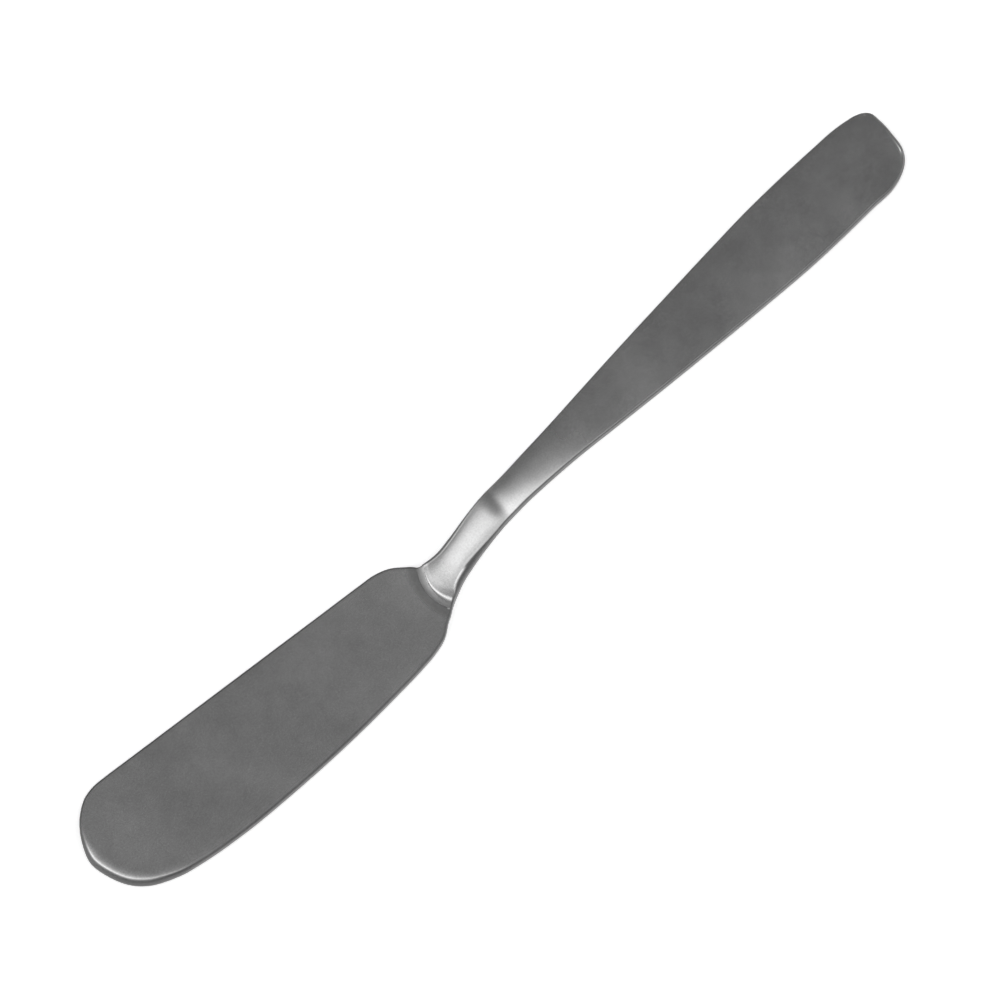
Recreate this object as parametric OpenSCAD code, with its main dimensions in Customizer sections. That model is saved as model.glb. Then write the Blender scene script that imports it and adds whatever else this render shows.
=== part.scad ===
// Butter knife of the one-piece kind: a blunt spreading blade, a raised shoulder, a cranked
// neck and a flared handle, all worked from one steel blank with no joint anywhere.
// X runs along the handle, from the blade's tip to the handle's end. The spine is on the +Y
// side and the spreading edge on the -Y side. Z is up, and the blade lies flat on Z = 0.
// The origin is under the middle of the outline.

/* [Blade] */
// Length of the blade, from its tip to the shoulder
blade_l = 66.8; // [50:0.2:90]
// Width of the blade, from the spine to the spreading edge
blade_w = 19.7; // [16:0.1:26]
// Thickness of the blade's flat
blade_t = 1.8; // [1.2:0.1:2.6]
// Angle by which the blade swings off the line of the handle, in degrees
blade_swing = 6.75; // [0:0.25:12]
// Width of the rounding along the spine
spine_round_w = 0.25; // [0.15:0.05:0.6]
// Depth of the rounding along the spine
spine_round_h = 0.3; // [0.15:0.05:0.6]
// Width of the blunt rounding at the nose, seen from above
nose_round_w = 1; // [0.6:0.05:1.4]
// Depth of the blunt rounding at the nose
nose_round_h = 1.2; // [0.6:0.05:1.4]
// Width of the gentle roll inside the nose's rounding
nose_roll_w = 1.1; // [0.5:0.1:2]
// Depth of the gentle roll at the nose
nose_roll_h = 0.08; // [0.02:0.01:0.12]
// Width of the rounding along the spreading edge
edge_round_w = 0.25; // [0.15:0.05:0.6]
// Depth of the rounding along the spreading edge
edge_round_h = 0.4; // [0.15:0.05:0.8]
// Width of the shallow bevel inside the spreading edge's rounding
bevel_w = 1.6; // [0.6:0.1:2.4]
// Depth of the shallow bevel
bevel_h = 0.06; // [0.02:0.01:0.16]
// Length over which the nose rounding turns into the bevel
nose_fade_l = 16; // [8:0.5:24]

/* [Neck] */
// Length of the neck, from the shoulder to the narrowest part of the handle
neck_l = 17.6; // [12:0.2:26]
// Width of the neck
neck_w = 5.6; // [4:0.1:8]
// Thickness of the neck's sides at the crest
neck_t = 2.8; // [2.2:0.1:4]
// Height of the neck's underside above the table at the crest
neck_rise = 3.7; // [2:0.1:5]
// Length of the bend over the crest
bend_l = 2.8; // [2:0.1:5]
// Sideways distance from the line of the handle to the middle of the shoulder
neck_offset = 2.45; // [0:0.05:4]
// Width of the rounding along the neck where it starts at the shoulder
neck_round_w = 1; // [0.6:0.05:1.6]
// Depth of the rounding along the neck where it starts at the shoulder
neck_round_h = 1.1; // [0.6:0.05:1.5]
// Height by which the middle of the neck stands above its sides
neck_crown = 0.6; // [0:0.05:1]

/* [Shoulder] */
// Thickness of the neck where it starts at the shoulder
shoulder_t = 2.8; // [2.2:0.1:3.6]
// Length of the step down from the neck to the blade
shoulder_run = 1.25; // [0.8:0.05:1.6]
// Distance by which the curved shoulder bows out over the blade
shoulder_bow = 1.1; // [0.2:0.1:2]

/* [Handle] */
// Length of the handle, from its narrowest part to its end
handle_l = 85.9; // [60:0.1:110]
// Widest width of the handle
handle_w = 13.7; // [9:0.1:18]
// Thickness of the handle's flat part
handle_t = 2; // [1.4:0.1:3]
// Width of the rounding along the handle and the upper half of the neck
handle_round_w = 0.2; // [0.15:0.05:0.8]
// Depth of the rounding along the handle and the upper half of the neck
handle_round_h = 0.3; // [0.15:0.05:0.8]
// Width of the faint roll inside the roundings of the spine, the neck and the handle
faint_roll_w = 0.3; // [0.1:0.05:0.6]
// Depth of the faint roll
faint_roll_h = 0.01; // [0.01:0.01:0.03]
// Height by which the middle of the handle stands above its sides
handle_crown = 0.15; // [0:0.05:0.4]
// Length of the rounded end
end_l = 6.8; // [4:0.2:9]

/* [Underside] */
// Size of the rounding below the blade
under_blade_r = 0.25; // [0.1:0.05:0.4]
// Size of the rounding below the neck
under_neck_r = 0.9; // [0.4:0.05:1.2]
// Size of the rounding below the handle
under_handle_r = 0.5; // [0.2:0.05:0.8]

/* [Smoothness] */
// Longest distance between two cross-sections
row_pitch = 2; // [1.8:0.1:4]
// Strips across the knife, in fours
columns = 12; // [8:4:16]
// Facets round each upper edge
edge_facets = 4; // [3:1:5]

/* [Hidden] */

// Facets round each lower edge and across each roll, and the fewest strips along each stretch of
// the outline
lower_facets = 3;
roll_facets = 2;
fewest_rows = 2;
// Fullness of the rounded edges: 2 is a round, and less is nearer to a flat bevel
edge_power = 1.7;
// Largest share of the thickness that the lower rounding takes, and the share that stays upright
lower_share = 0.4;
wall_share = 0.05;
// Depth cut off the underside to leave a true flat
flat_cut = 0.02;
// Room round the knife for the block that cuts the flat
cut_room = 10;

// Directions along the blade, towards the shoulder, and across it, from the spine to the edge
along = [cos(blade_swing), -sin(blade_swing)];
across = [-sin(blade_swing), -cos(blade_swing)];

// Where the middle of the shoulder lies on the blade's width
shoulder_share = 0.382;
// The spine's straight line starts from here, level with the tip
spine_start = [-neck_l, -neck_offset] - blade_l * along - shoulder_share * blade_w * across;

// Blade outline: share of blade_l from the tip, then shares of blade_w for the spine side and the
// edge side
blade_shares = [
    [0.045, 0.126, 0.799], [0.08, 0.034, 0.888], [0.108, 0.006, 0.926], [0.145, 0, 0.962],
    [0.2, 0, 0.985], [0.31, 0, 0.999], [0.46, 0, 0.978], [0.63, 0, 0.929],
    [0.77, 0, 0.866], [0.86, 0, 0.817], [0.903, 0.003, 0.784], [0.94, 0.035, 0.735],
    [0.973, 0.107, 0.646]
];
// The same at the foot and the top of the shoulder, whose places are set by shoulder_run
shoulder_foot_shares = [0.127, 0.628];
shoulder_top_shares = [0.182, 0.579];
// Tip curve: share of blade_l, then share of blade_w
tip_shares = [[0.0115, 0.305], [0, 0.452], [0.0125, 0.62]];

// Neck: share of neck_l from the narrowest part, share of neck_offset, and share of half neck_w
neck_shares = [
    [-0.93, 0.88, 1.22], [-0.82, 0.785, 1.055], [-0.66, 0.64, 0.99], [-0.42, 0.44, 0.985],
    [-0.16, 0.3, 0.99]
];
// Handle: share of handle_l, share of neck_offset, and share of the flare from neck_w to handle_w
handle_shares = [
    [0.01, 0.185, -0.01], [0.06, 0.105, 0.034], [0.14, 0.04, 0.13], [0.235, 0.01, 0.3],
    [0.35, 0, 0.498], [0.49, 0, 0.71], [0.61, 0, 0.875], [0.7, 0, 0.975], [0.79, 0, 1],
    [0.87, 0, 0.977]
];
// Rounded end: shares of end_l back from the end and of half handle_w, on the spine side and then
// on the edge side, whose corner is the rounder of the two
end_shares = [
    [0.94, 0.966, 0.963, -0.984], [0.56, 0.917, 0.603, -0.89], [0.28, 0.851, 0.368, -0.766],
    [0.118, 0.766, 0.176, -0.555]
];
// End curve, as shares of end_l back from the end and of half handle_w
end_curve_shares = [[0.022, 0.642], [0, 0.38], [0.037, -0.03]];

// Places along the knife: where the underside leaves the table, where the neck's wide rounding has
// faded out, the crest of the neck, where its steep fall eases off, and where the handle settles to
// its own thickness
leave_share = 0.86;
root_share = 0.5;
crest_share = 0.79;
ease_share = 0.052;
settle_share = 0.27;
waist = blade_l + neck_l;
knife_end = waist + handle_l;
crest = blade_l + neck_l * crest_share;
eased = waist + handle_l * ease_share;
settled = waist + handle_l * settle_share;
// Slopes on both sides of the crest's bend, as shares of the mean slope
rise_share = 1.284;
fall_share = 1.165;
mean_slope = neck_rise / neck_l;
rise_slope = rise_share * mean_slope;
fall_slope = fall_share * mean_slope;
// Side profile of the underside elsewhere: shares of neck_rise and of the mean slope
foot_lift_shares = [0.049, 0.333];
shoulder_lift_shares = [0.103, 1.19];
eased_lift_shares = [0.716, -0.25];
settled_lift_shares = [0.473, -0.214];
end_lift_shares = [0, -0.057];
function lift_knot(place, shares) = [place, shares[0] * neck_rise, shares[1] * mean_slope];
// Side profile of the underside: place, height and slope
lift_knots = [
    [blade_l * leave_share, 0, 0],
    lift_knot(blade_l - shoulder_run, foot_lift_shares),
    lift_knot(blade_l, shoulder_lift_shares),
    [crest - bend_l / 2, neck_rise - rise_slope * bend_l / 4, rise_slope],
    [crest + bend_l / 2, neck_rise - fall_slope * bend_l / 4, -fall_slope],
    lift_knot(eased, eased_lift_shares),
    lift_knot(settled, settled_lift_shares),
    lift_knot(knife_end, end_lift_shares)
];
// Thickness along the knife: place, thickness and slope, with a steep foot at the shoulder
foot_share = 1.5;
eased_share = 0.35;
thickness_knots = [
    [blade_l - shoulder_run, blade_t, foot_share * (shoulder_t - blade_t) / shoulder_run],
    [blade_l, shoulder_t, (neck_t - shoulder_t) / (crest - blade_l)],
    [crest, neck_t, 0],
    [eased, mix(neck_t, handle_t, eased_share), (handle_t - neck_t) / (settled - crest)],
    [settled, handle_t, 0]
];
// Height of the middle of the upper face over its sides
crown_knots = [
    [blade_l - shoulder_run, 0, 0],
    [crest, neck_crown, 0],
    [waist, neck_crown, 0],
    [settled, handle_crown, 0]
];

function mix(a, b, t) = a + (b - a) * t;
function ease(t) = let(c = min(1, max(0, t))) c * c * (3 - 2 * c);
function fade(a, b, from, to, q) = mix(a, b, ease((q - from) / (to - from)));
function reversed(list) = [for (i = [len(list) - 1:-1:0]) list[i]];

// Smooth curve through knots of place, value and slope, level beyond the first and the last
function profile(knots, q) =
    q <= knots[0][0] ? knots[0][1] :
    q >= knots[len(knots) - 1][0] ? knots[len(knots) - 1][1] :
    let(
        k = max([for (i = [0:len(knots) - 2]) if (knots[i][0] <= q) i]),
        a = knots[k],
        b = knots[k + 1],
        h = b[0] - a[0],
        t = (q - a[0]) / h
    )
    a[1] * (1 + 2 * t) * (1 - t) * (1 - t) + a[2] * h * t * (1 - t) * (1 - t)
    + b[1] * t * t * (3 - 2 * t) - b[2] * h * t * t * (1 - t);

// Control points of the outline, and the station of each pair of them along the knife
function on_blade(s, t) = spine_start + s * along + t * blade_w * across;
blade_s = concat(
    [for (b = blade_shares) b[0] * blade_l],
    [blade_l - shoulder_run, blade_l]
);
blade_t_shares = concat(
    [for (b = blade_shares) [b[1], b[2]]],
    [shoulder_foot_shares, shoulder_top_shares]
);
half_neck = neck_w / 2;
half_handle = handle_w / 2;
neck_rows = concat(
    [for (n = neck_shares) [n[0] * neck_l, -n[1] * neck_offset, n[2] * half_neck]],
    [for (h = handle_shares)
        [h[0] * handle_l, -h[1] * neck_offset, mix(half_neck, half_handle, h[2])]]
);
function end_point(back, side) = [handle_l - back * end_l, side * half_handle];
left_controls = concat(
    [for (i = [0:len(blade_s) - 1]) on_blade(blade_s[i], blade_t_shares[i][0])],
    [for (n = neck_rows) [n[0], n[1] + n[2]]],
    [for (e = end_shares) end_point(e[0], e[1])]
);
right_controls = concat(
    [for (i = [0:len(blade_s) - 1]) on_blade(blade_s[i], blade_t_shares[i][1])],
    [for (n = neck_rows) [n[0], n[1] - n[2]]],
    [for (e = end_shares) end_point(e[2], e[3])]
);
stations = concat(
    blade_s,
    [for (n = neck_rows) waist + n[0]],
    [for (e = end_shares) knife_end - (e[0] + e[2]) / 2 * end_l]
);
tip_controls = [for (p = tip_shares) on_blade(p[0] * blade_l, p[1])];
end_controls = [for (p = end_curve_shares) end_point(p[0], p[1])];

// The whole outline as one closed spline, clockwise from the spine's end of the tip
controls = concat(left_controls, end_controls, reversed(right_controls), reversed(tip_controls));
control_n = len(controls);
pair_n = len(left_controls);
function tangent(i) =
    let(
        a = controls[(i + control_n - 1) % control_n],
        b = controls[i],
        c = controls[(i + 1) % control_n],
        d1 = norm(b - a),
        d2 = norm(c - b)
    )
    ((b - a) * d2 / d1 + (c - b) * d1 / d2) / (d1 + d2);
tangents = [for (i = [0:control_n - 1]) tangent(i)];
function forward(i, f) =
    let(
        j = (i + 1) % control_n,
        h = norm(controls[j] - controls[i])
    )
    controls[i] * (1 + 2 * f) * (1 - f) * (1 - f) + tangents[i] * h * f * (1 - f) * (1 - f)
    + controls[j] * f * f * (3 - 2 * f) - tangents[j] * h * f * f * (1 - f);

// The four sides of the outline, each as a function of its own segment and the fraction of it
function left_at(k, f) = forward(k, f);
function right_at(k, f) = forward(control_n - len(tip_controls) - 2 - k, 1 - f);
function tip_at(k, f) = forward((2 * control_n - 1 - k) % control_n, 1 - f);
function end_at(k, f) = forward(pair_n - 1 + k, f);

// Cross-sections: the segment, the fraction of it and the station of each
function rows_in(k) = max(fewest_rows, ceil((stations[k + 1] - stations[k]) / row_pitch));
rows = concat(
    [for (k = [0:pair_n - 2]) for (r = [0:rows_in(k) - 1])
        let(f = r / rows_in(k)) [k, f, mix(stations[k], stations[k + 1], f)]],
    [[pair_n - 2, 1, stations[pair_n - 1]]]
);
last = len(rows) - 1;
left = [for (r = rows) left_at(r[0], r[1])];
right = [for (r = rows) right_at(r[0], r[1])];
tip_columns = columns / (len(tip_controls) + 1);
end_columns = columns / (len(end_controls) + 1);
tip = [for (c = [0:columns]) tip_at(floor(c / tip_columns), c / tip_columns % 1)];
end = [for (c = [0:columns]) end_at(floor(c / end_columns), c / end_columns % 1)];

// Rim: the outline as a closed ring of points, each with its row and column
rim_rc = concat(
    [for (r = [0:last]) [r, 0]],
    [for (c = [1:columns - 1]) [last, c]],
    [for (r = [last:-1:0]) [r, columns]],
    [for (c = [columns - 1:-1:1]) [0, c]]
);
rim_n = len(rim_rc);
function rim_index(r, c) =
    c == 0 ? r :
    r == last ? last + c :
    c == columns ? 2 * last + columns - r :
    2 * last + 2 * columns - c;
function on_rim(r, c) = c == 0 || c == columns || r == 0 || r == last;
rim = [for (rc = rim_rc)
    rc[1] == 0 ? left[rc[0]] :
    rc[1] == columns ? right[rc[0]] :
    rc[0] == 0 ? tip[rc[1]] : end[rc[1]]];
// Directions square to the rim, pointing into the knife
inward = [for (i = [0:rim_n - 1])
    let(d = rim[(i + 1) % rim_n] - rim[(i + rim_n - 1) % rim_n])
    [d[1], -d[0]] / norm(d)];

// Upper edge at each place: width and depth of its rounding, then of the roll inside it
spine_round = [spine_round_w, spine_round_h, faint_roll_w, faint_roll_h];
nose_round = [nose_round_w, nose_round_h, nose_roll_w, nose_roll_h];
bevel_round = [edge_round_w, edge_round_h, bevel_w, bevel_h];
neck_round = [neck_round_w, neck_round_h, faint_roll_w, faint_roll_h];
handle_round = [handle_round_w, handle_round_h, faint_roll_w, faint_roll_h];
// The bevel fades out between these shares of the blade's length
bevel_end_shares = [0.8, 0.94];
function left_round(q) =
    q < blade_l + shoulder_run ?
    fade(spine_round, neck_round, blade_l - shoulder_run, blade_l + shoulder_run, q) :
    fade(neck_round, handle_round, blade_l + shoulder_run, blade_l + neck_l * root_share, q);
function right_round(q) =
    q < nose_fade_l ? fade(nose_round, bevel_round, stations[0], nose_fade_l, q) :
    q < blade_l - shoulder_run ?
    fade(bevel_round, spine_round, bevel_end_shares[0] * blade_l, bevel_end_shares[1] * blade_l, q) :
    left_round(q);
function upper_round(r, c) =
    let(q = rows[r][2])
    c == 0 ? left_round(q) :
    c == columns ? right_round(q) :
    r == 0 ? fade(spine_round, nose_round, 0, columns / 2, c) : handle_round;
function lower_round(r) =
    let(
        q = rows[r][2],
        size = q < waist ? fade(under_blade_r, under_neck_r, blade_l, blade_l + neck_l / 2, q) :
            fade(under_neck_r, under_handle_r, waist, settled, q)
    )
    min(size, lower_share * thickness(r));

// Heights
function lift(r) = profile(lift_knots, rows[r][2]);
function thickness(r) = profile(thickness_knots, rows[r][2]);
function crown(r, v) = profile(crown_knots, rows[r][2]) * (1 - v * v);
half_widths = [for (r = [0:last]) norm(left[r] - right[r]) / 2];

// Superellipse of the roundings at an angle: 0 is on the side wall and 90 on the face
power_share = 2 / edge_power;
function turn_in(a) = 1 - pow(cos(a), power_share);
function turn_off(a) = 1 - pow(sin(a), power_share);
// Angle at which a rounding has the slope that its roll starts with
function stop_angle(size) =
    atan(pow(2 * size[3] / size[2] * size[0] / size[1], -1 / (2 - power_share)));
// Inset and drop of the upper edge at f: 0 is on the side wall, 1 where the rounding meets the roll
// and 2 on the face
function upper_edge(size, f) =
    let(
        stop = stop_angle(size),
        angle = stop * min(f, 1),
        t = max(f - 1, 0)
    )
    [size[0] * turn_in(angle) + size[2] * t,
        size[1] * (turn_off(angle) - turn_off(stop)) + size[3] * (1 - t) * (1 - t)];

// Rings of points round the knife, from the rim of its underside up to the rim of its upper face
function lower_point(i, angle) =
    let(
        r = rim_rc[i][0],
        size = lower_round(r),
        p = rim[i] + inward[i] * size * turn_in(angle)
    )
    [p[0], p[1], lift(r) + size * turn_off(angle)];
function upper_point(i, f) =
    let(
        r = rim_rc[i][0],
        c = rim_rc[i][1],
        size = upper_round(r, c),
        room = thickness(r) * (1 - wall_share) - lower_round(r) - size[3],
        edge = upper_edge([size[0], min(size[1], room), size[2], size[3]], f),
        p = rim[i] + inward[i] * edge[0],
        v = c == 0 || c == columns ? 1 - edge[0] / half_widths[r] : 2 * c / columns - 1
    )
    [p[0], p[1], lift(r) + thickness(r) + crown(r, v) - edge[1]];
function lower_ring(angle) = [for (i = [0:rim_n - 1]) lower_point(i, angle)];
function upper_ring(f) = [for (i = [0:rim_n - 1]) upper_point(i, f)];
rings = concat(
    [for (k = [lower_facets:-1:0]) lower_ring(90 * k / lower_facets)],
    [for (k = [0:edge_facets]) upper_ring(k / edge_facets)],
    [for (k = [1:roll_facets]) upper_ring(1 + k / roll_facets)]
);
ring_n = len(rings);

// How far the end's shape reaches into the handle, in lengths of the rounded end
end_reach_share = 2;
// Share that each row takes of the tip's shape, of the shoulder's bow and of the end's shape
function row_shares(q) =
    let(t = (q - stations[0]) / (blade_l - stations[0]))
    q < blade_l ? [1 - t, t, 0] :
    q < waist ? [0, 1 - ease((q - blade_l) / neck_l), 0] :
    [0, 0, ease(1 - (knife_end - q) / (end_reach_share * end_l))];
// How far the middle points of the first or the last row lie from its chord
function row_shape(ring, r) =
    let(a = ring[rim_index(r, 0)], b = ring[rim_index(r, columns)])
    [for (c = [0:columns])
        let(p = ring[rim_index(r, c)] - mix(a, b, c / columns)) [p[0], p[1]]];

// Upper and lower faces: a grid of points inside the last and the first ring
function face_point(ring, tip_shape, end_shape, r, c, upper) =
    let(
        a = ring[rim_index(r, 0)],
        b = ring[rim_index(r, columns)],
        u = c / columns,
        chord = [b[0] - a[0], b[1] - a[1]],
        share = row_shares(rows[r][2]),
        bow = [chord[1], -chord[0]] / norm(chord) * shoulder_bow * 4 * u * (1 - u),
        out = share[0] * tip_shape[c] + share[1] * bow + share[2] * end_shape[c],
        v = (2 * u - 1) * norm(chord) / (2 * half_widths[r])
    )
    [mix(a[0], b[0], u) + out[0], mix(a[1], b[1], u) + out[1],
        upper ? lift(r) + thickness(r) + crown(r, v) : lift(r)];
function face(ring, upper) =
    let(tip_shape = row_shape(ring, 0), end_shape = row_shape(ring, last))
    [for (r = [0:last]) for (c = [0:columns])
        on_rim(r, c) ? ring[rim_index(r, c)] :
        face_point(ring, tip_shape, end_shape, r, c, upper)];

face_n = (last + 1) * (columns + 1);
points = concat(
    face(rings[0], false),
    face(rings[ring_n - 1], true),
    [for (k = [1:ring_n - 2]) each rings[k]]
);
function face_index(r, c) = r * (columns + 1) + c;
function ring_index(k, i) =
    let(rc = rim_rc[i % rim_n])
    k == 0 ? face_index(rc[0], rc[1]) :
    k == ring_n - 1 ? face_n + face_index(rc[0], rc[1]) :
    2 * face_n + (k - 1) * rim_n + i % rim_n;
face_cells = [for (r = [0:last - 1]) for (c = [0:columns - 1])
    [face_index(r, c), face_index(r + 1, c), face_index(r + 1, c + 1), face_index(r, c + 1)]];
triangles = concat(
    [for (f = face_cells) each [[f[0], f[2], f[1]], [f[0], f[3], f[2]]]],
    [for (f = face_cells) each [
        [f[0] + face_n, f[1] + face_n, f[2] + face_n],
        [f[0] + face_n, f[2] + face_n, f[3] + face_n]]],
    [for (k = [0:ring_n - 2]) for (i = [0:rim_n - 1]) each [
        [ring_index(k, i), ring_index(k, i + 1), ring_index(k + 1, i + 1)],
        [ring_index(k, i), ring_index(k + 1, i + 1), ring_index(k + 1, i)]]]
);

// Middle of the outline, which goes over the origin
rim_x = [for (p = rim) p[0]];
rim_y = [for (p = rim) p[1]];
middle = [min(rim_x) + max(rim_x), min(rim_y) + max(rim_y)] / 2;

module knife() {
    size_x = max(rim_x) - min(rim_x) + 2 * cut_room;
    size_y = max(rim_y) - min(rim_y) + 2 * cut_room;
    color("silver")
    intersection() {
        translate([-middle[0], -middle[1], -flat_cut])
        polyhedron(points, triangles);
        translate([-size_x / 2, -size_y / 2, 0])
        cube([size_x, size_y, neck_rise + neck_t + cut_room]);
    }
}

knife();
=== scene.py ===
# Butter knife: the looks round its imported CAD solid. Lengths are in millimetres up to the meshes,
# which are in metres, and every piece lies in the frame of the CAD model: X along the handle
# away from the blade, the spine towards +Y, Z up from the table. Left is the spine's side, and
# right the side of the spreading edge.

import math

import bpy
import numpy as np
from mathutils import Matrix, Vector

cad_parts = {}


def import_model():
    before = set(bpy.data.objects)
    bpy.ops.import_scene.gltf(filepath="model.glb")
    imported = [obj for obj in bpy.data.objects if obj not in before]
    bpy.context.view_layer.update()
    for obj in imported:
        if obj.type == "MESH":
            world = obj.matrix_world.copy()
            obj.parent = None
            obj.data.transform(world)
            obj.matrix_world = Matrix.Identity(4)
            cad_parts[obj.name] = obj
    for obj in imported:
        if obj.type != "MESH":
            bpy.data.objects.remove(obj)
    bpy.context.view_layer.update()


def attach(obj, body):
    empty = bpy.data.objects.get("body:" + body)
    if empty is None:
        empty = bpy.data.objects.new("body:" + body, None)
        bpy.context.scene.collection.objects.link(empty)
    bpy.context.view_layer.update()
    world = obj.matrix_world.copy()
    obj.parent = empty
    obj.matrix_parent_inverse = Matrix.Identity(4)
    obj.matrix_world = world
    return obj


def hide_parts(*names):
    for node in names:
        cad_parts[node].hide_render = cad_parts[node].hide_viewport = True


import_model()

MM = 0.001

# Sizes of the knife, the same as those of the CAD source
BLADE_L, BLADE_W, BLADE_T = 66.8, 19.7, 1.8
BLADE_SWING = math.radians(6.75)
SHOULDER_T, SHOULDER_RUN, SHOULDER_BOW = 2.8, 1.25, 1.1
NECK_L, NECK_W, NECK_T = 17.6, 5.6, 2.8
NECK_RISE, NECK_OFFSET, NECK_CROWN = 3.7, 2.45, 0.6
BEND_L = 2.8
HANDLE_L, HANDLE_W, HANDLE_T = 85.9, 13.7, 2.0
HANDLE_CROWN = 0.15
END_L, END_REACH = 6.8, 2
UNDER_BLADE_R, UNDER_NECK_R, UNDER_HANDLE_R = 0.25, 0.9, 0.5
EDGE_POWER = 1.7

# Fineness of the loft
ROW_PITCH = 0.5
SHORTEST_STEPS = 8
COLUMNS = 40
UPPER_FACETS = 9
ROLL_FACETS = 4
LOWER_FACETS = 5

# Outline of the blade: share of its length from the tip, then shares of its width for the spine
# side and the edge side
BLADE_SHARES = [
    (0.045, 0.126, 0.799), (0.08, 0.034, 0.888), (0.108, 0.006, 0.926), (0.145, 0, 0.962),
    (0.2, 0, 0.985), (0.31, 0, 0.999), (0.46, 0, 0.978), (0.63, 0, 0.929),
    (0.77, 0, 0.866), (0.86, 0, 0.817), (0.903, 0.003, 0.784), (0.94, 0.035, 0.735),
    (0.973, 0.107, 0.646),
]
SHOULDER_FOOT_SHARES = (0.127, 0.628)
SHOULDER_TOP_SHARES = (0.182, 0.579)
TIP_SHARES = [(0.0115, 0.305), (0, 0.452), (0.0125, 0.62)]
# Where the neck meets the blade, as a share of the blade's width
SHOULDER_SHARE = 0.382
# Neck: share of its length from the waist, share of its offset, share of half its width
NECK_SHARES = [
    (-0.93, 0.88, 1.22), (-0.82, 0.785, 1.055), (-0.66, 0.64, 0.99), (-0.42, 0.44, 0.985),
    (-0.16, 0.3, 0.99),
]
# Handle: share of its length, share of the neck's offset, share of its flare
HANDLE_SHARES = [
    (0.01, 0.185, -0.01), (0.06, 0.105, 0.034), (0.14, 0.04, 0.13), (0.235, 0.01, 0.3),
    (0.35, 0, 0.498), (0.49, 0, 0.71), (0.61, 0, 0.875), (0.7, 0, 0.975), (0.79, 0, 1),
    (0.87, 0, 0.977),
]
# Rounded end: shares of its length back from the end and of half the handle's width, on the
# spine side and on the edge side, and then the end curve
END_SHARES = [
    (0.94, 0.966, 0.963, -0.984), (0.56, 0.917, 0.603, -0.89), (0.28, 0.851, 0.368, -0.766),
    (0.118, 0.766, 0.176, -0.555),
]
END_CURVE_SHARES = [(0.022, 0.642), (0, 0.38), (0.037, -0.03)]

# Places along the knife from the blade's tip: the heel, where the blade starts to lift, the foot
# of the shoulder's step, its top, the end of the neck's root, the crest, the waist, where the
# neck's steep fall eases off, and where the handle settles to its own thickness. The foot has a
# row of its own, FOOT_STEPS rows before the end of the blade
STEP_L = 0.95
ROOT_L = 3.5
FOOT_STEPS = 3
LEAVE_SHARE, CREST_SHARE, EASE_SHARE, SETTLE_SHARE = 0.86, 0.79, 0.052, 0.27
HEEL = BLADE_L * LEAVE_SHARE
FOOT = BLADE_L - SHOULDER_RUN * FOOT_STEPS / SHORTEST_STEPS
STEP_TOP = FOOT + STEP_L
ROOT = STEP_TOP + ROOT_L
CREST = BLADE_L + NECK_L * CREST_SHARE
WAIST = BLADE_L + NECK_L
EASED = WAIST + HANDLE_L * EASE_SHARE
SETTLED = WAIST + HANDLE_L * SETTLE_SHARE
KNIFE_END = WAIST + HANDLE_L


def mix(a, b, t):
    return a + (b - a) * t


# Knots of place, value and slope for the lift off the table, the thickness at the sides, and how
# far the middle is crowned above them
FOOT_LIFT, STEP_LIFT = 0.2, 0.38
FOOT_SLOPE, TOP_SLOPE = 0.06, 0.2
RISE_SLOPE, FALL_SLOPE = 0.27, 0.245
EASED_LIFT_SHARE, SETTLED_LIFT_SHARE = 0.716, 0.473
EASED_SLOPE, SETTLED_SLOPE, END_SLOPE = -0.0525, -0.045, -0.012
LIFT_KNOTS = [
    (HEEL, 0, 0), (FOOT, FOOT_LIFT, FOOT_SLOPE), (STEP_TOP, STEP_LIFT, TOP_SLOPE),
    (CREST - BEND_L / 2, NECK_RISE - RISE_SLOPE * BEND_L / 4, RISE_SLOPE),
    (CREST + BEND_L / 2, NECK_RISE - FALL_SLOPE * BEND_L / 4, -FALL_SLOPE),
    (EASED, NECK_RISE * EASED_LIFT_SHARE, EASED_SLOPE),
    (SETTLED, NECK_RISE * SETTLED_LIFT_SHARE, SETTLED_SLOPE),
    (KNIFE_END, 0, END_SLOPE),
]
STEP_SLOPE = 1.3
EASED_T_SHARE = 0.35
THICKNESS_KNOTS = [
    (FOOT, BLADE_T, STEP_SLOPE), (STEP_TOP, SHOULDER_T, 0), (CREST, NECK_T, 0),
    (EASED, mix(NECK_T, HANDLE_T, EASED_T_SHARE), (HANDLE_T - NECK_T) / (SETTLED - CREST)),
    (SETTLED, HANDLE_T, 0),
]
FALLING_SHARE, FALLING_CROWN, FALLING_SLOPE = 0.12, 0.28, -0.02
CROWN_KNOTS = [
    (FOOT, 0, 0), (CREST, NECK_CROWN, 0), (WAIST, NECK_CROWN, 0),
    (WAIST + HANDLE_L * FALLING_SHARE, FALLING_CROWN, FALLING_SLOPE), (SETTLED, HANDLE_CROWN, 0),
]

# Each upper edge: width and depth of its rounding, then of the gentle roll inside it, and last
# where the painted shade of the wall starts to fade and is gone: 0 is on the side wall, 1 where the
# rounding meets the roll and 2 on the face
SPINE_ROUND = np.array([0.25, 0.3, 0.3, 0.01, 0.9, 1.6])
NOSE_ROUND = np.array([1.0, 1.2, 1.1, 0.08, 0.5, 1.0])
BEVEL = np.array([0.25, 0.4, 1.6, 0.06, 0.95, 1.25])
NECK_ROUND = np.array([0.4, 0.6, 0.3, 0.01, 0.95, 1.8])
ROOT_ROUND = np.array([0.9, 0.8, 0.3, 0.01, 1.0, 1.7])
HANDLE_ROUND = np.array([0.2, 0.3, 0.3, 0.01, 0.8, 1.3])
# Where one edge fades into the next
NOSE_FADE_L = 16
BEVEL_END_SHARES = (0.8, 0.94)
NECK_ROUND_LEAD = 0.4
ROOT_ROUND_L = 2
NECK_ROUND_SHARE = 0.7
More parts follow.
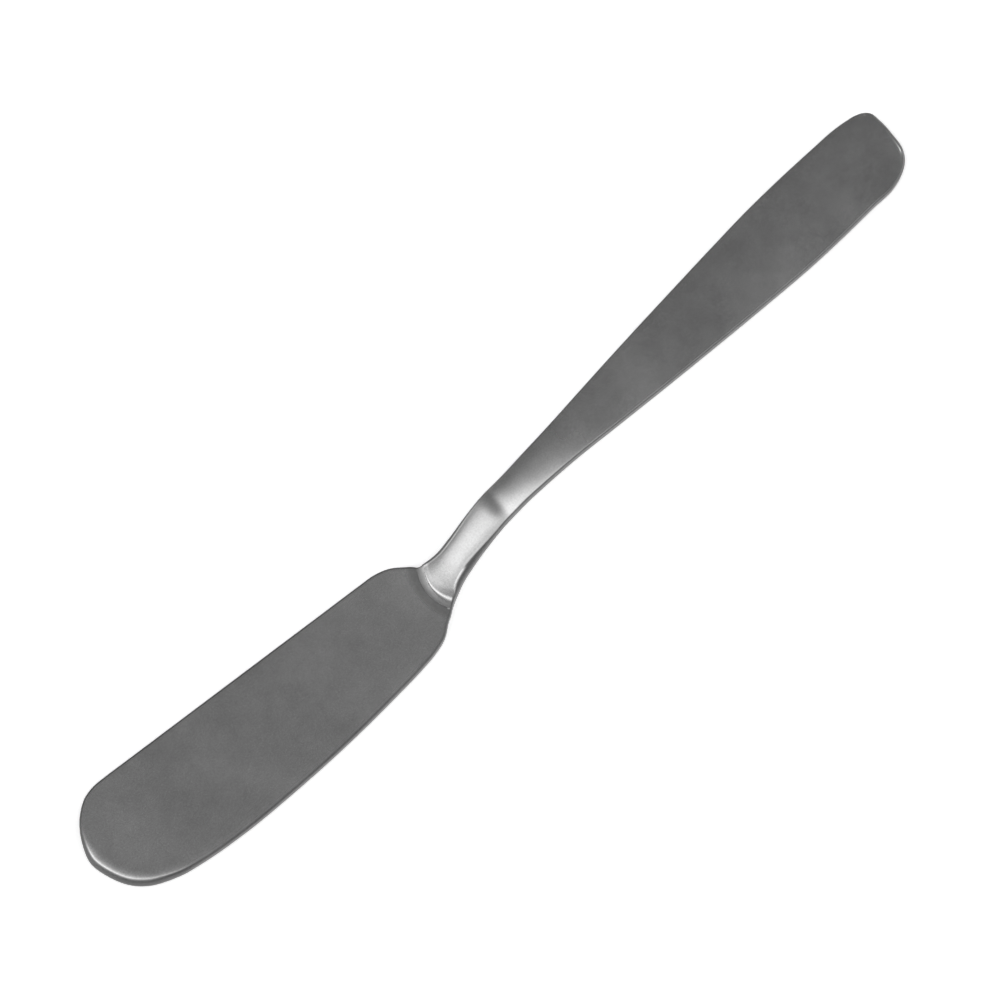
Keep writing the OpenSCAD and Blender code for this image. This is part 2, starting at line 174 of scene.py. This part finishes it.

# Painted shade, from 0 on the face to 1 on the walls: on the strip of the blade in front of the
# step, with its start and its full depth before the foot, on the step, and faintly on the root
BAND_PAINTED_SHADE, BAND_START, BAND_FULL = 0.6, 1.7, 0.8
STEP_PAINTED_SHADE = 0.75
ROOT_PAINTED_SHADE = 0.12
# The same painted shade on the sides of the neck, with its width and the share of the neck that it
# runs along
SIDE_PAINTED_SHADE, SIDE_W, SIDE_SHARE = 0.2, 1.2, 0.4
# A painted highlight streak along the right side of the root: how far it lightens the colour, the
# length it fades over at both ends, and where it fades in and out across the edge
PAINTED_GLEAM, PAINTED_GLEAM_FADE_L = 1.5, 1.2
PAINTED_GLEAM_IN, PAINTED_GLEAM_OUT = (0.7, 0.95), (1.1, 1.6)


def ease(t):
    c = np.clip(t, 0, 1)
    return c * c * (3 - 2 * c)


def fade(a, b, start, stop, q):
    """Smooth change from a at start to b at stop, level outside them."""
    return mix(a, b, ease((q - start) / (stop - start)))


def hermite(a, b, slope_a, slope_b, t):
    """The cubic from a to b with those slopes over the whole step."""
    return (a * (1 + 2 * t) * (1 - t) ** 2 + slope_a * t * (1 - t) ** 2
            + b * t * t * (3 - 2 * t) - slope_b * t * t * (1 - t))


def profile(knots, q):
    """Smooth curve through knots of place, value and slope, level beyond both ends."""
    if q <= knots[0][0]:
        return knots[0][1]
    if q >= knots[-1][0]:
        return knots[-1][1]
    k = max(i for i in range(len(knots) - 1) if knots[i][0] <= q)
    (start, low, slope_a), (stop, high, slope_b) = knots[k], knots[k + 1]
    step = stop - start
    return hermite(low, high, slope_a * step, slope_b * step, (q - start) / step)


class Outline:
    """The knife's outline as one closed spline, cut into paired rows of left and right points."""

    def __init__(self):
        along = np.array([math.cos(BLADE_SWING), -math.sin(BLADE_SWING)])
        across = np.array([-math.sin(BLADE_SWING), -math.cos(BLADE_SWING)])
        shoulder = np.array([-NECK_L, -NECK_OFFSET])
        corner = shoulder - BLADE_L * along - SHOULDER_SHARE * BLADE_W * across

        def on_blade(s, t):
            return corner + s * along + t * BLADE_W * across

        def at_end(back, side):
            return np.array([HANDLE_L - back * END_L, side * HANDLE_W / 2])

        blade = [(s * BLADE_L, left, right) for s, left, right in BLADE_SHARES]
        blade += [(BLADE_L - SHOULDER_RUN, *SHOULDER_FOOT_SHARES), (BLADE_L, *SHOULDER_TOP_SHARES)]
        rows = [(x * NECK_L, -y * NECK_OFFSET, w * NECK_W / 2) for x, y, w in NECK_SHARES]
        rows += [(x * HANDLE_L, -y * NECK_OFFSET, mix(NECK_W, HANDLE_W, w) / 2)
                 for x, y, w in HANDLE_SHARES]
        left = [on_blade(s, a) for s, a, b in blade]
        right = [on_blade(s, b) for s, a, b in blade]
        left += [np.array([x, y + half]) for x, y, half in rows]
        right += [np.array([x, y - half]) for x, y, half in rows]
        left += [at_end(a, b) for a, b, c, d in END_SHARES]
        right += [at_end(c, d) for a, b, c, d in END_SHARES]
        self.stations = [s for s, a, b in blade] + [WAIST + x for x, y, w in rows]
        self.stations += [KNIFE_END - (a + c) / 2 * END_L for a, b, c, d in END_SHARES]
        tip = [on_blade(s * BLADE_L, t) for s, t in TIP_SHARES]
        end = [at_end(*p) for p in END_CURVE_SHARES]
        self.points = np.array(left + end + right[::-1] + tip[::-1])
        self.pairs = len(left)
        self.tip_n = len(tip)
        self.end_n = len(end)
        before = self.points - np.roll(self.points, 1, 0)
        after = np.roll(self.points, -1, 0) - self.points
        d1 = np.linalg.norm(before, axis=1)[:, None]
        d2 = np.linalg.norm(after, axis=1)[:, None]
        self.tangents = (before * d2 / d1 + after * d1 / d2) / (d1 + d2)

    def at(self, i, f):
        """The point at fraction f of the segment that starts at control point i."""
        n = len(self.points)
        i, j = i % n, (i + 1) % n
        h = np.linalg.norm(self.points[j] - self.points[i])
        return hermite(self.points[i], self.points[j], self.tangents[i] * h,
                       self.tangents[j] * h, f)

    def rows(self):
        """Station, left point and right point of every cross-section."""
        made = []
        n = len(self.points)
        for k in range(self.pairs - 1):
            a, b = self.stations[k], self.stations[k + 1]
            steps = max(SHORTEST_STEPS, math.ceil((b - a) / ROW_PITCH))
            for r in range(steps + (k == self.pairs - 2)):
                f = r / steps
                made.append((mix(a, b, f), self.at(k, f), self.at(n - self.tip_n - 2 - k, 1 - f)))
        return made

    def columns(self, inner):
        """Segment and fraction of each column across a curve with that many inner points."""
        where = [c * (inner + 1) / COLUMNS for c in range(COLUMNS + 1)]
        return [(min(int(w), inner), w - min(int(w), inner)) for w in where]

    def tip(self):
        """The points across the tip, from the left row to the right one."""
        last = 2 * len(self.points) - 1
        return [self.at(last - k, 1 - f) for k, f in self.columns(self.tip_n)]

    def end(self):
        """The points across the handle's end, from the left row to the right one."""
        return [self.at(self.pairs - 1 + k, f) for k, f in self.columns(self.end_n)]


class Loft:
    """The knife's skin: rings of points round the outline, closed by a grid above and below."""

    def __init__(self):
        outline = Outline()
        rows = outline.rows()
        self.q = np.array([r[0] for r in rows])
        left = np.array([r[1] for r in rows])
        right = np.array([r[2] for r in rows])
        self.last = len(rows) - 1
        self.half = np.linalg.norm(left - right, axis=1) / 2
        self.lift = np.array([profile(LIFT_KNOTS, q) for q in self.q])
        self.thick = np.array([profile(THICKNESS_KNOTS, q) for q in self.q])
        self.crown = np.array([profile(CROWN_KNOTS, q) for q in self.q])
        last, cols = self.last, COLUMNS
        # Row and column of each point of the rim: along the left side, across the handle's end,
        # back along the right side and across the tip
        self.row_col = ([(r, 0) for r in range(last + 1)] + [(last, c) for c in range(1, cols)]
                        + [(r, cols) for r in range(last, -1, -1)]
                        + [(0, c) for c in range(cols - 1, 0, -1)])
        tip, end = outline.tip(), outline.end()
        rim = [left[r] if c == 0 else right[r] if c == cols else tip[c] if r == 0 else end[c]
               for r, c in self.row_col]
        rim = np.array(rim)
        self.rim = rim - (rim.min(0) + rim.max(0)) / 2
        run = np.roll(self.rim, -1, 0) - np.roll(self.rim, 1, 0)
        inward = np.stack([run[:, 1], -run[:, 0]], 1)
        self.inward = inward / np.linalg.norm(inward, axis=1)[:, None]
        self.first_station = outline.stations[0]

    def left_round(self, q):
        if q < ROOT:
            return fade(SPINE_ROUND, NECK_ROUND, STEP_TOP - NECK_ROUND_LEAD, ROOT, q)
        return fade(NECK_ROUND, HANDLE_ROUND, ROOT, BLADE_L + NECK_L * NECK_ROUND_SHARE, q)

    def right_round(self, q):
        if q < NOSE_FADE_L:
            return fade(NOSE_ROUND, BEVEL, self.first_station, NOSE_FADE_L, q)
        if q < BLADE_L - SHOULDER_RUN:
            start, stop = [BLADE_L * share for share in BEVEL_END_SHARES]
            return fade(BEVEL, SPINE_ROUND, start, stop, q)
        widest = STEP_TOP + ROOT_ROUND_L
        if q < widest:
            return fade(SPINE_ROUND, ROOT_ROUND, STEP_TOP - NECK_ROUND_LEAD, widest, q)
        return fade(ROOT_ROUND, HANDLE_ROUND, widest, BLADE_L + NECK_L * NECK_ROUND_SHARE, q)

    def upper_round(self, r, c):
        q = self.q[r]
        if c == 0:
            return self.left_round(q)
        if c == COLUMNS:
            return self.right_round(q)
        return fade(SPINE_ROUND, NOSE_ROUND, 0, COLUMNS / 2, c) if r == 0 else HANDLE_ROUND

    def lower_round(self, r):
        q = self.q[r]
        if q < WAIST:
            return fade(UNDER_BLADE_R, UNDER_NECK_R, BLADE_L, BLADE_L + NECK_L / 2, q)
        return fade(UNDER_NECK_R, UNDER_HANDLE_R, WAIST, SETTLED, q)

    def lower_ring(self, f):
        """A ring of the lower rounding: 0 is on the side wall and 1 on the underside."""
        angle = f * math.pi / 2
        inset = 1 - math.cos(angle) ** (2 / EDGE_POWER) if f < 1 else 1
        drop = 1 - math.sin(angle) ** (2 / EDGE_POWER)
        made = np.zeros((len(self.rim), 3))
        for i, (r, c) in enumerate(self.row_col):
            size = self.lower_round(r)
            made[i, :2] = self.rim[i] + self.inward[i] * size * inset
            made[i, 2] = self.lift[r] + size * drop
        return made

    def upper_ring(self, f):
        """A ring of the upper edge: 0 is on the side wall, 1 where the rounding meets the roll and
        2 on the face. Also how much shade is painted at each of its points, below 0 where a
        highlight is painted."""
        power = 2 / EDGE_POWER
        made, dark = np.zeros((len(self.rim), 3)), np.zeros(len(self.rim))
        for i, (r, c) in enumerate(self.row_col):
            q = self.q[r]
            width, depth, roll, sink, start, gone = self.upper_round(r, c)
            # The rounding stops where it is as steep as the roll
            stop = math.atan((2 * sink / roll * width / depth) ** (-1 / (2 - power)))
            angle = stop * min(f, 1)
            inset = width * (1 - math.cos(angle) ** power) + roll * max(f - 1, 0)
            drop = depth * (math.sin(stop) ** power - math.sin(angle) ** power)
            drop += sink * (1 - max(f - 1, 0)) ** 2
            made[i, :2] = self.rim[i] + self.inward[i] * inset
            v = 1 - inset / self.half[r] if c in (0, COLUMNS) else 2 * c / COLUMNS - 1
            made[i, 2] = self.lift[r] + self.thick[r] + self.crown[r] * (1 - v * v) - drop
            # Painted shade: full on the wall, fading onto the face into the painted shade there
            dark[i] = fade(1, max(self.side(q), self.painted_shade_band(q)), start, gone, f)
            if c == COLUMNS:
                # Painted highlight: a streak lightened along the right side of the root
                dark[i] -= self.painted_gleam(q) * fade(0, 1, *PAINTED_GLEAM_IN, f) * fade(1, 0, *PAINTED_GLEAM_OUT, f)
        return made, dark

    def side(self, q):
        """How far the walls' painted shade runs on over the sides of the neck."""
        leave = fade(1, 0, BLADE_L + NECK_L * SIDE_SHARE, CREST, q)
        return SIDE_PAINTED_SHADE * fade(0, 1, STEP_TOP, ROOT, q) * leave

    def painted_shade_band(self, q):
        """How much shade is painted on the strip of the blade before the step, and from there on.
        """
        if q < FOOT:
            return BAND_PAINTED_SHADE * fade(0, 1, FOOT - BAND_START, FOOT - BAND_FULL, q)
        on_step = STEP_PAINTED_SHADE * fade(1, 0, FOOT, STEP_TOP, q)
        return max(on_step, ROOT_PAINTED_SHADE * fade(1, 0, STEP_TOP, ROOT, q))

    def painted_gleam(self, q):
        """How bright a highlight is painted along the right side of the neck's root."""
        come = fade(0, 1, STEP_TOP, STEP_TOP + PAINTED_GLEAM_FADE_L, q)
        return PAINTED_GLEAM * come * fade(1, 0, ROOT, ROOT + PAINTED_GLEAM_FADE_L, q)

    def painted_face_shade(self):
        """How much shade is painted on the upper face, at each of its points."""
        grid = np.zeros((self.last + 1, COLUMNS + 1))
        u = np.arange(COLUMNS + 1) / COLUMNS
        for r, q in enumerate(self.q):
            inside = 2 * self.half[r] * np.minimum(u, 1 - u)
            grid[r] = np.maximum(self.side(q) * fade(1, 0, 0, SIDE_W, inside), self.painted_shade_band(q))
        return grid.reshape(-1)

    def rim_index(self, r, c):
        """Number of the rim's point at that row and column."""
        if c == 0:
            return r
        if r == self.last:
            return self.last + c
        if c == COLUMNS:
            return 2 * self.last + COLUMNS - r
        return 2 * self.last + 2 * COLUMNS - c

    def shares(self, q):
        """How much a row takes of the tip's shape, of the shoulder's bow and of the end's shape."""
        if q < BLADE_L:
            t = (q - self.first_station) / (BLADE_L - self.first_station)
            return 1 - t, t, 0
        if q < WAIST:
            return 0, 1 - ease((q - BLADE_L) / NECK_L), 0
        return 0, 0, ease((q - KNIFE_END) / (END_REACH * END_L) + 1)

    def face(self, ring, upper):
        """The grid of points inside a ring. Rows near the tip, the shoulder and the end are
        curved."""
        u = np.arange(COLUMNS + 1) / COLUMNS
        edges = [[ring[self.rim_index(r, c)][:2] for c in range(COLUMNS + 1)]
                 for r in (0, self.last)]
        tip, end = [np.array(e) - mix(e[0], e[-1], u[:, None]) for e in edges]
        grid = np.zeros((self.last + 1, COLUMNS + 1, 3))
        for r in range(self.last + 1):
            a, b = ring[self.rim_index(r, 0)], ring[self.rim_index(r, COLUMNS)]
            chord = (b - a)[:2]
            length = np.linalg.norm(chord)
            square = np.array([chord[1], -chord[0]]) / length
            of_tip, of_bow, of_end = self.shares(self.q[r])
            v = (2 * u - 1) * length / (2 * self.half[r])
            grid[r, :, :2] = mix(a[:2], b[:2], u[:, None]) + of_tip * tip + of_end * end
            grid[r, :, :2] += of_bow * SHOULDER_BOW * np.outer(4 * u * (1 - u), square)
            grid[r, :, 2] = self.lift[r]
            if upper:
                grid[r, :, 2] += self.thick[r] + self.crown[r] * (1 - v * v)
            whole = range(COLUMNS + 1) if r in (0, self.last) else (0, COLUMNS)
            for c in whole:
                grid[r, c] = ring[self.rim_index(r, c)]
        return grid.reshape(-1, 3)

    def foot_point(self, c):
        """Number of the point of the upper face at the foot of the step, in that column."""
        r = int(np.argmin(abs(self.q - FOOT)))
        return (self.last + 1 + r) * (COLUMNS + 1) + c

    def mesh(self):
        """All points, in millimetres, the faces, and how much shade is painted at each point, below
        0 where a highlight is painted.
        """
        up = [k / UPPER_FACETS for k in range(UPPER_FACETS + 1)]
        up += [1 + k / ROLL_FACETS for k in range(1, ROLL_FACETS + 1)]
        rings = [self.lower_ring(k / LOWER_FACETS) for k in range(LOWER_FACETS, -1, -1)]
        # The lower rings get full painted shade
        walls = [np.ones(len(self.rim))] * len(rings)
        for f in up:
            ring, dark = self.upper_ring(f)
            rings.append(ring)
            walls.append(dark)
        across, rim_n = COLUMNS + 1, len(self.rim)
        face_n = (self.last + 1) * across
        points = np.concatenate([self.face(rings[0], False), self.face(rings[-1], True),
                                 *rings[1:-1]])

        def number(k, i):
            """Number of point i of ring k. The first and the last ring are the faces' edges."""
            r, c = self.row_col[i % rim_n]
            if k == 0:
                return r * across + c
            if k == len(rings) - 1:
                return face_n + r * across + c
            return 2 * face_n + (k - 1) * rim_n + i % rim_n

        faces = []
        for r in range(self.last):
            for c in range(COLUMNS):
                a, b = r * across + c, (r + 1) * across + c
                faces.append((a, b, b + 1, a + 1))
                faces.append((face_n + a, face_n + a + 1, face_n + b + 1, face_n + b))
        for k in range(len(rings) - 1):
            for i in range(rim_n):
                faces.append((number(k, i), number(k + 1, i), number(k + 1, i + 1),
                              number(k, i + 1)))
        # Painted shade: none on the underside, the upper face's own, and each ring's
        walls = np.concatenate([np.zeros(face_n), self.painted_face_shade(), *walls[1:-1]])
        return points, faces, walls


def knife_piece():
    loft = Loft()
    points, faces, walls = loft.mesh()
    points[:, 2] = np.maximum(points[:, 2], 0)
    mesh = bpy.data.meshes.new("steel_knife")
    mesh.from_pydata((points * MM).tolist(), [], faces)
    mesh.update()
    mesh.polygons.foreach_set("use_smooth", [True] * len(mesh.polygons))
    # Painted shade, and painted highlight below 0, as a point attribute for the material
    mesh.attributes.new("wall", "FLOAT", "POINT").data.foreach_set("value", walls)
    foot = {loft.foot_point(c) for c in range(COLUMNS + 1)}
    for edge in mesh.edges:
        edge.use_edge_sharp = set(edge.vertices) <= foot
    knife = bpy.data.objects.new("steel_knife", mesh)
    bpy.context.scene.collection.objects.link(knife)
    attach(knife, "root")
    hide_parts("knife")
    return knife


class Nodes:
    """Short forms for building the nodes of a material or a world."""

    def __init__(self, owner):
        owner.use_nodes = True
        self.tree = owner.node_tree
        self.tree.nodes.clear()

    def add(self, kind, inputs=None, **settings):
        node = self.tree.nodes.new(kind)
        for name, value in settings.items():
            setattr(node, name, value)
        for name, value in (inputs or {}).items():
            if isinstance(value, bpy.types.NodeSocket):
                self.tree.links.new(value, node.inputs[name])
            else:
                node.inputs[name].default_value = value
        return node

    def noise(self, vector, scale, detail, roughness):
        made = self.add("ShaderNodeTexNoise", {"Vector": vector, "Scale": scale, "Detail": detail,
                                               "Roughness": roughness})
        return made.outputs["Fac"]

    def span(self, value, low, high, to_low, to_high, smooth=False):
        """The value's range from low to high, carried over to another range and held to it."""
        made = self.add("ShaderNodeMapRange", {"Value": value, "From Min": low, "From Max": high,
                                               "To Min": to_low, "To Max": to_high},
                        interpolation_type="SMOOTHSTEP" if smooth else "LINEAR")
        return made.outputs["Result"]

    def math(self, operation, a, b):
        made = self.add("ShaderNodeMath", {0: a, 1: b}, operation=operation)
        return made.outputs[0]


# Steel: scale, detail and roughness of its three noises, and the range that each mostly fills
CLOUDS, MOTTLE, GRAIN = (60, 4, 0.6), (420, 3, 0.6), (3800, 2, 0.6)
NOISE_LOW, NOISE_HIGH = 0.3, 0.7
# How far each noise moves the tone, how much lighter the steel past the heel is painted, as painted
# light, and between which places along X, in metres, it gets so
CLOUD_TONE, MOTTLE_TONE, GRAIN_TONE, HEEL_PAINTED_LIGHT = 0.1, 0.04, 0.1, 0.2
HEEL_X = (-0.045, -0.022)
# Brightness of the steel where a highlight is painted, at -1, and where shade is painted as dark as
# on the walls, at 1
PAINTED_HIGHLIGHT, PAINTED_SHADE = 0.86, 0.14
# Roughness of the faces and the walls, how far the clouds move it, how much the neck adds, and
# between which places along X, in metres, that comes and goes
FACE_ROUGH, WALL_ROUGH = 0.24, 0.4
CLOUD_SMOOTHER, CLOUD_ROUGHER = -0.02, 0.03
NECK_ROUGHER = 0.09
NECK_COMES_X, NECK_GOES_X = (-0.02, -0.01), (0, 0.02)
BUMP_STRENGTH, BUMP_DEPTH = 0.08, 0.00003


def stainless():
    """Stainless steel with a satin finish: cloudy stains, mottling, a fine grain, and side walls
    left rougher, as cut. Shade is painted on the walls, before and on the neck's step and on its
    sides, a highlight is painted along the right side of the root, and the steel past the heel is
    painted lighter."""
    material = bpy.data.materials.new("stainless")
    n = Nodes(material)
    place = n.add("ShaderNodeTexCoord").outputs["Object"]
    along = n.add("ShaderNodeSeparateXYZ", {"Vector": place}).outputs["X"]
    clouds, mottle, grain = [n.noise(place, *kind) for kind in (CLOUDS, MOTTLE, GRAIN)]
    # Painted shade, and painted highlight below 0, from the mesh; it also roughens the walls
    wall = n.add("ShaderNodeAttribute", attribute_name="wall").outputs["Fac"]
    tone = n.span(clouds, NOISE_LOW, NOISE_HIGH, 1 - CLOUD_TONE, 1 + CLOUD_TONE)
    for noise, most in (mottle, MOTTLE_TONE), (grain, GRAIN_TONE):
        tone = n.math("ADD", tone, n.span(noise, NOISE_LOW, NOISE_HIGH, -most, most))
    # Painted light: the steel past the heel is made lighter
    tone = n.math("ADD", tone, n.span(along, *HEEL_X, 0, HEEL_PAINTED_LIGHT, smooth=True))
    # The painted shade darkens the colour and the painted highlight lightens it
    value = n.math("MULTIPLY", tone, n.span(wall, -1, 1, PAINTED_HIGHLIGHT, PAINTED_SHADE))
    colour = n.add("ShaderNodeCombineColor", {"Red": value, "Green": value, "Blue": value})
    rough = n.math("ADD", n.span(clouds, NOISE_LOW, NOISE_HIGH, CLOUD_SMOOTHER, CLOUD_ROUGHER),
                   n.span(wall, 0, 1, FACE_ROUGH, WALL_ROUGH))
    neck = n.math("ADD", n.span(along, *NECK_COMES_X, 0, NECK_ROUGHER, smooth=True),
                  n.span(along, *NECK_GOES_X, 0, -NECK_ROUGHER, smooth=True))
    rough = n.math("ADD", rough, neck)
    bump = n.add("ShaderNodeBump", {"Strength": BUMP_STRENGTH, "Distance": BUMP_DEPTH,
                                    "Height": grain})
    shader = n.add("ShaderNodeBsdfPrincipled", {
        "Base Color": colour.outputs["Color"], "Metallic": 1.0, "Roughness": rough,
        "Normal": bump.outputs["Normal"],
    })
    output = n.add("ShaderNodeOutputMaterial")
    n.tree.links.new(shader.outputs["BSDF"], output.inputs["Surface"])
    return material


WHITE = (1, 1, 1, 1)
# What the lit floor lacks of full white
FLOOR_GLOW = 0.42
STUDIO_RADIUS, BACKDROP_HEIGHT, STUDIO_SIDES = 3, 0.4, 64


def pale():
    """White to the camera and to reflections, and it keeps the shadow."""
    material = bpy.data.materials.new("pale")
    n = Nodes(material)
    matt = n.add("ShaderNodeBsdfDiffuse", {"Color": WHITE})
    path = n.add("ShaderNodeLightPath")
    seen = n.math("MAXIMUM", path.outputs["Is Camera Ray"], path.outputs["Is Glossy Ray"])
    seen = n.math("MAXIMUM", seen, path.outputs["Is Transmission Ray"])
    glow = n.add("ShaderNodeEmission", {"Color": WHITE,
                                        "Strength": n.math("MULTIPLY", seen, FLOOR_GLOW)})
    shader = n.add("ShaderNodeAddShader", {0: matt.outputs["BSDF"], 1: glow.outputs["Emission"]})
    output = n.add("ShaderNodeOutputMaterial")
    n.tree.links.new(shader.outputs["Shader"], output.inputs["Surface"])
    return material


def studio():
    """A plain white floor and a low round wall behind it, in metres."""
    sides = STUDIO_SIDES
    ring = [(STUDIO_RADIUS * math.cos(a), STUDIO_RADIUS * math.sin(a))
            for a in [2 * math.pi * k / sides for k in range(sides)]]
    parts = {
        "floor": ([(x, y, 0) for x, y in ring], [tuple(range(sides))]),
        "backdrop": ([(x, y, z) for z in (0, BACKDROP_HEIGHT) for x, y in ring],
                     [(k, sides + k, sides + (k + 1) % sides, (k + 1) % sides)
                      for k in range(sides)]),
    }
    material = pale()
    for name, (points, faces) in parts.items():
        mesh = bpy.data.meshes.new(name)
        mesh.from_pydata(points, [], faces)
        mesh.materials.append(material)
        made = bpy.data.objects.new(name, mesh)
        bpy.context.scene.collection.objects.link(made)


# Light by the direction (x, y, z) that it comes from. Middle of the dark patch where the knife's
# flats look, which runs on from there towards the spine's side, how much shorter it is ahead than
# behind, and how far from its middle it fades
PATCH_X, PATCH_Y, PATCH_STRETCH = 0.29, 0.2, 1.6
PATCH_EDGE = (0.3, 0.85)
# Level round the patch, and level in it, which falls along x because the handle looks farther
# ahead than the blade
BRIGHT, DARK_BLADE, DARK_HANDLE = 2.1, 0.26, 0.13
DARK_X = (0.14, 0.36)
# The line that divides the two sides of the studio is y = -SIDE_SLANT * x - SIDE_SHIFT
SIDE_SLANT, SIDE_SHIFT = 0.25, 0.11
# From where to where the light dims, and the level at each: towards the spine's side, towards
# the other side, past the blade's tip, and low down
SPINE_DIM = (0.3, 1.05, 1, 0.3)
EDGE_DIM = (-0.65, 0.05, 0.3, 1)
TIP_DIM = (-0.95, -0.6, 0.15, 1)
LOW_DIM = (0.2, 0.6, 0.25, 1)


def world():
    """Soft studio light: dark where the knife's flats look, brighter all round that, and dimmer
    towards both sides, past the tip and low down."""
    made = bpy.data.worlds.new("studio")
    bpy.context.scene.world = made
    n = Nodes(made)
    way = n.add("ShaderNodeTexCoord").outputs["Generated"]
    x, y, z = n.add("ShaderNodeSeparateXYZ", {"Vector": way}).outputs
    ahead = n.math("SUBTRACT", x, PATCH_X)
    ahead = n.math("MAXIMUM", ahead, n.math("MULTIPLY", ahead, PATCH_STRETCH))
    aside = n.math("MINIMUM", n.math("SUBTRACT", y, PATCH_Y), 0)
    flat = n.add("ShaderNodeCombineXYZ", {"X": ahead, "Y": aside}).outputs["Vector"]
    off = n.add("ShaderNodeVectorMath", {0: flat}, operation="LENGTH").outputs["Value"]
    least = n.span(x, *DARK_X, DARK_BLADE, DARK_HANDLE, smooth=True)
    level = n.span(off, *PATCH_EDGE, least, BRIGHT, smooth=True)
    side = n.math("ADD", y, n.math("ADD", n.math("MULTIPLY", x, SIDE_SLANT), SIDE_SHIFT))
    for value, dim in (side, SPINE_DIM), (side, EDGE_DIM), (x, TIP_DIM), (z, LOW_DIM):
        level = n.math("MULTIPLY", level, n.span(value, *dim, smooth=True))
    level = n.math("MAXIMUM", level, least)
    shader = n.add("ShaderNodeBackground", {"Color": WHITE, "Strength": level})
    output = n.add("ShaderNodeOutputWorld")
    n.tree.links.new(shader.outputs["Background"], output.inputs["Surface"])


# Camera: the point in the middle of its view, its height over the floor as an angle, the angle
# of the knife in the picture, its distance in metres and its lens
VIEW_MIDDLE = Vector((-1.797, -0.101, 1.0)) * MM
ELEVATION = math.radians(72)
PICTURE_ANGLE = math.radians(43.66)
DISTANCE, LENS = 0.6, 140.97


def camera():
    """Looks down on the knife, with the handle pointing up and to the right."""
    swing = -math.atan(math.tan(PICTURE_ANGLE) / math.sin(ELEVATION))
    level, up = math.cos(ELEVATION), math.sin(ELEVATION)
    back = Vector((math.sin(swing) * level, -math.cos(swing) * level, up))
    data = bpy.data.cameras.new("camera")
    data.lens = LENS
    made = bpy.data.objects.new("camera", data)
    made.location = VIEW_MIDDLE + back * DISTANCE
    made.rotation_mode = "QUATERNION"
    made.rotation_quaternion = (VIEW_MIDDLE - made.location).to_track_quat("-Z", "Y")
    bpy.context.scene.collection.objects.link(made)
    bpy.context.scene.camera = made


knife = knife_piece()
knife.data.materials.append(stainless())
studio()
world()
camera()
bpy.context.scene.view_settings.view_transform = "Standard"
